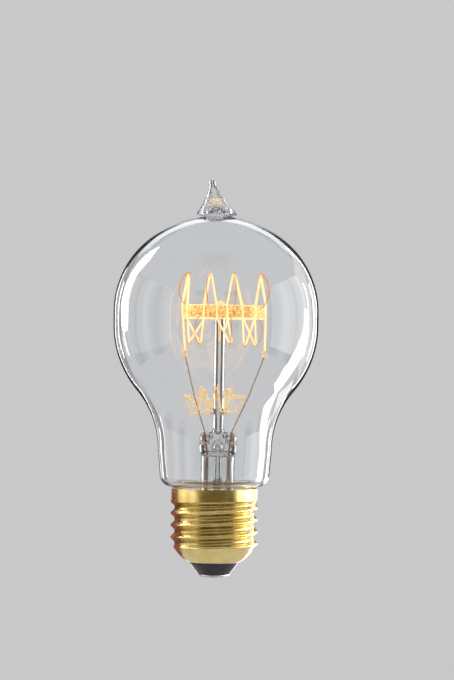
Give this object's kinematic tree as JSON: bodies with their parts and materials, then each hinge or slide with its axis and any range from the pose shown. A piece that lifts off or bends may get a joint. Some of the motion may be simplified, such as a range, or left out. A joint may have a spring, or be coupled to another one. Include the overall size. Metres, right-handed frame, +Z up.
{
  "type": "filament bulb",
  "caption": "Clear glass filament bulb with a pulled glass tip, a zigzag cage filament on wire hooks round a glass disc, and a brass screw cap.",
  "frame": {"origin": "centre of the worn solder flat under the centre contact, on the cap's axis", "axes": "+Z up the lamp's axis from the contact to the pulled tip; the front of the picture is the side that faces -Y, and +X is to its right"},
  "size_m": [0.0618, 0.0618, 0.12],
  "materials": {
    "clear_glass": "clear, polished",
    "stem_glass": "clear, polished",
    "disc_glass": "clear glass lit amber by the filament, full of glints",
    "filament": "glowing",
    "crown_wire": "drawn wire, satin",
    "nickel_wire": "drawn wire, satin",
    "copper_wire": "drawn wire, satin",
    "cement": "matte, grainy",
    "brass_shell": "rolled, satin to bright",
    "black_glass": "black glass, glossy",
    "contact_metal": "satin",
    "solder": "dull, cast"
  },
  "bodies": {
    "root": {"glass_envelope": "clear_glass", "pulled_tip": "clear_glass", "stem_flare": "stem_glass", "stem_pinch": "stem_glass", "exhaust_tube": "stem_glass", "glass_rod": "stem_glass", "spreader_disc": "disc_glass", "crown_collar": "stem_glass", "crown_wire": "crown_wire", "filament_front": "filament", "filament_back": "filament", "filament_clamp_left": "nickel_wire", "filament_clamp_right": "nickel_wire", "inner_lead_left": "nickel_wire", "inner_lead_right": "nickel_wire", "seal_wire_left": "copper_wire", "seal_wire_right": "copper_wire", "outer_lead_side": "copper_wire", "outer_lead_center": "copper_wire", "cap_cement": "cement", "screw_shell": "brass_shell", "cap_insulator": "black_glass", "contact_plate": "contact_metal", "contact_solder": "solder", "side_solder": "solder", "upper_anchor_1": "nickel_wire", "upper_anchor_2": "nickel_wire", "upper_anchor_3": "nickel_wire", "upper_anchor_4": "nickel_wire", "upper_anchor_5": "nickel_wire", "upper_anchor_6": "nickel_wire", "upper_anchor_7": "nickel_wire", "upper_anchor_8": "nickel_wire", "lower_anchor_1": "nickel_wire", "lower_anchor_2": "nickel_wire", "lower_anchor_3": "nickel_wire", "lower_anchor_4": "nickel_wire", "lower_anchor_5": "nickel_wire", "lower_anchor_6": "nickel_wire"}
  },
  "joints": []
}
